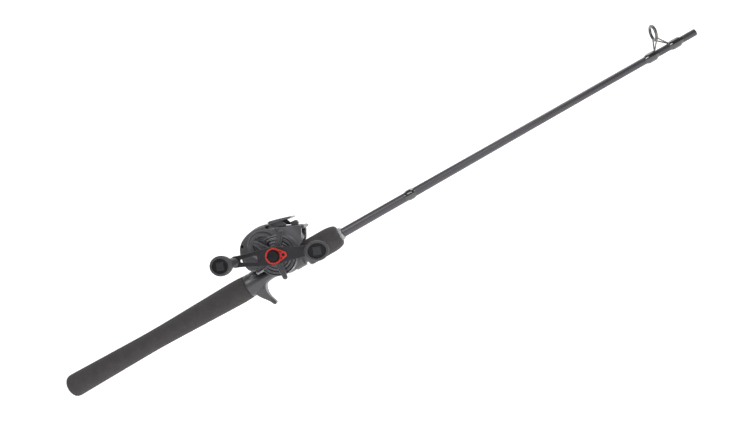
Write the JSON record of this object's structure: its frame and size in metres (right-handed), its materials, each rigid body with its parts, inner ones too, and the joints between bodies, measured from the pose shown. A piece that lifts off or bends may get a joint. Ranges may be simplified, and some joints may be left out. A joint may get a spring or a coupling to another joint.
{
  "type": "casting rod butt section with baitcasting reel",
  "caption": "Butt half of a two-piece casting rod with foam grips, trigger seat, stripper guide and a low-profile baitcasting reel with star drag and double crank.",
  "frame": {"origin": "centre of the butt end face of the rear grip, on the rod axis", "axes": "+X along the rod from butt to tip end, +Z from the rod axis up to the reel, crank handle on the -Y side"},
  "size_m": [0.813, 0.112, 0.0856],
  "materials": {
    "rod_blank": "satin clear-coated carbon fibre",
    "grip_foam": "closed-cell EVA foam, matt charcoal",
    "seat_resin": "satin moulded resin",
    "trim_silver": "bright turned ring",
    "wrap_epoxy": "thread under clear epoxy",
    "guide_metal": "gunmetal plated wire",
    "guide_ceramic": "polished ceramic ring",
    "reel_body": "satin metallic grey paint",
    "reel_body_dark": "moulded, fine satin",
    "screw_black": "black oxide",
    "steel": "ground",
    "brass": "machined",
    "carbon_washer": "woven carbon friction disc",
    "spool_alloy": "anodised grey",
    "black_alloy": "black anodised, satin",
    "grey_alloy": "dark grey anodised, satin",
    "red_alloy": "red anodised",
    "acetal": "natural acetal",
    "knob_rubber": "dark soft-touch rubber",
    "knob_black": "black moulded"
  },
  "bodies": {
    "rod": {"blank": "rod_blank", "rear_grip": "grip_foam", "reel_seat": "seat_resin", "hook_keeper": "guide_metal", "keeper_wrap": "wrap_epoxy", "guide_frame": "guide_metal", "guide_insert": "guide_ceramic", "rear_foot_wrap": "wrap_epoxy", "front_foot_wrap": "wrap_epoxy", "reel_frame": "reel_body_dark", "reel_foot": "steel", "foot_rivets": "steel", "handle_side_plate": "reel_body", "plate_screws": "screw_black", "palm_side_plate": "reel_body", "top_hood": "reel_body", "spool_bearings": "steel", "brake_magnet_ring": "steel", "main_bearing": "steel", "one_way_bearing": "steel", "worm_bushings": "acetal", "guide_rail": "steel", "idler_post": "steel"},
    "seat_hood": {"sliding_hood": "seat_resin"},
    "fore_grip_nut": {"locking_nut": "seat_resin", "fore_grip": "grip_foam", "winding_check": "trim_silver"},
    "crank": {"drive_gear": "brass", "drag_washers": "carbon_washer", "pressure_plate": "steel", "drag_spring_washers": "steel", "one_way_sleeve": "steel", "drive_shaft": "steel", "level_gear": "acetal", "crank_handle": "black_alloy", "handle_nut": "screw_black", "nut_retainer": "red_alloy", "retainer_screw": "screw_black", "rear_knob_spindle": "steel", "front_knob_spindle": "steel"},
    "star_wheel": {"star_drag": "grey_alloy"},
    "rear_handle_knob": {"rear_knob": "knob_rubber", "rear_knob_cap": "knob_black"},
    "front_handle_knob": {"front_knob": "knob_rubber", "front_knob_cap": "knob_black"},
    "spool_assembly": {"spool": "spool_alloy", "spool_shaft": "steel", "spool_drive_pin": "steel", "brake_rotor": "spool_alloy"},
    "thumb_release": {"thumb_bar": "reel_body_dark"},
    "yoke": {"clutch_yoke": "acetal"},
    "pinion_gear": {"pinion": "brass"},
    "idler": {"idler_gear": "acetal"},
    "worm": {"worm_gear": "acetal", "worm_shaft": "steel"},
    "line_carriage": {"line_guide": "reel_body_dark", "line_guide_eye": "trim_silver"},
    "cast_control": {"cast_control_cap": "black_alloy"},
    "brake_adjuster": {"brake_dial": "reel_body_dark"}
  },
  "joints": [
    {"name": "hood_slide", "type": "slide", "parent": "rod", "child": "seat_hood", "axis": [1, 0, 0], "range_m": [0, 0.00601]},
    {"name": "fore_grip_turn", "type": "hinge", "parent": "seat_hood", "child": "fore_grip_nut", "pos_m": [0.33, 0, 0], "axis": [1, 0, 0], "range_deg": [0, 1080]},
    {"name": "crank_turn", "type": "hinge", "parent": "rod", "child": "crank", "pos_m": [0.2957, 0, 0.0151], "axis": [0, 1, 0], "continuous": true},
    {"name": "star_drag_turn", "type": "hinge", "parent": "crank", "child": "star_wheel", "pos_m": [0.2957, 0, 0.0151], "axis": [0, 1, 0], "range_deg": [-180, 180]},
    {"name": "rear_knob_spin", "type": "hinge", "parent": "crank", "child": "rear_handle_knob", "pos_m": [0.2554, -0.0465, 0.03009], "axis": [-0.2426, -0.9659, 0.0902], "continuous": true},
    {"name": "front_knob_spin", "type": "hinge", "parent": "crank", "child": "front_handle_knob", "pos_m": [0.336, -0.0465, 0.00011], "axis": [0.2426, -0.9659, -0.0902], "continuous": true},
    {"name": "spool_spin", "type": "hinge", "parent": "rod", "child": "spool_assembly", "pos_m": [0.28521, 0, 0.03189], "axis": [0, 1, 0], "continuous": true},
    {"name": "thumb_bar_press", "type": "slide", "parent": "rod", "child": "thumb_release", "axis": [0, 0, -1], "range_m": [0, 0.0045]},
    {"name": "clutch_shift", "type": "slide", "parent": "rod", "child": "yoke", "axis": [0, -1, 0], "range_m": [0, 0.002]},
    {"name": "pinion_spin", "type": "hinge", "parent": "yoke", "child": "pinion_gear", "pos_m": [0.28521, 0, 0.03189], "axis": [0, 1, 0], "continuous": true},
    {"name": "idler_spin", "type": "hinge", "parent": "rod", "child": "idler", "pos_m": [0.31219, 0, 0.01831], "axis": [0, 1, 0], "continuous": true},
    {"name": "worm_spin", "type": "hinge", "parent": "rod", "child": "worm", "pos_m": [0.32161, 0, 0.02014], "axis": [0, 1, 0], "continuous": true},
    {"name": "line_guide_travel", "type": "slide", "parent": "rod", "child": "line_carriage", "axis": [0, 1, 0], "range_m": [-0.0115, 0.0115]},
    {"name": "cast_control_turn", "type": "hinge", "parent": "rod", "child": "cast_control", "pos_m": [0.28521, 0, 0.03189], "axis": [0, 1, 0], "range_deg": [-360, 360]},
    {"name": "brake_dial_turn", "type": "hinge", "parent": "rod", "child": "brake_adjuster", "pos_m": [0.28521, 0, 0.03189], "axis": [0, 1, 0], "range_deg": [0, 270]}
  ],
  "couplings": [
    {"joint": "spool_spin", "follows": "crank_turn", "ratio": -6.3333},
    {"joint": "pinion_spin", "follows": "crank_turn", "ratio": -6.3333},
    {"joint": "idler_spin", "follows": "crank_turn", "ratio": -1.8},
    {"joint": "worm_spin", "follows": "crank_turn", "ratio": 3},
    {"joint": "clutch_shift", "follows": "thumb_bar_press", "ratio": 0.44444},
    {"joint": "hood_slide", "follows": "fore_grip_turn", "m_per_rad": 0.00031831}
  ]
}
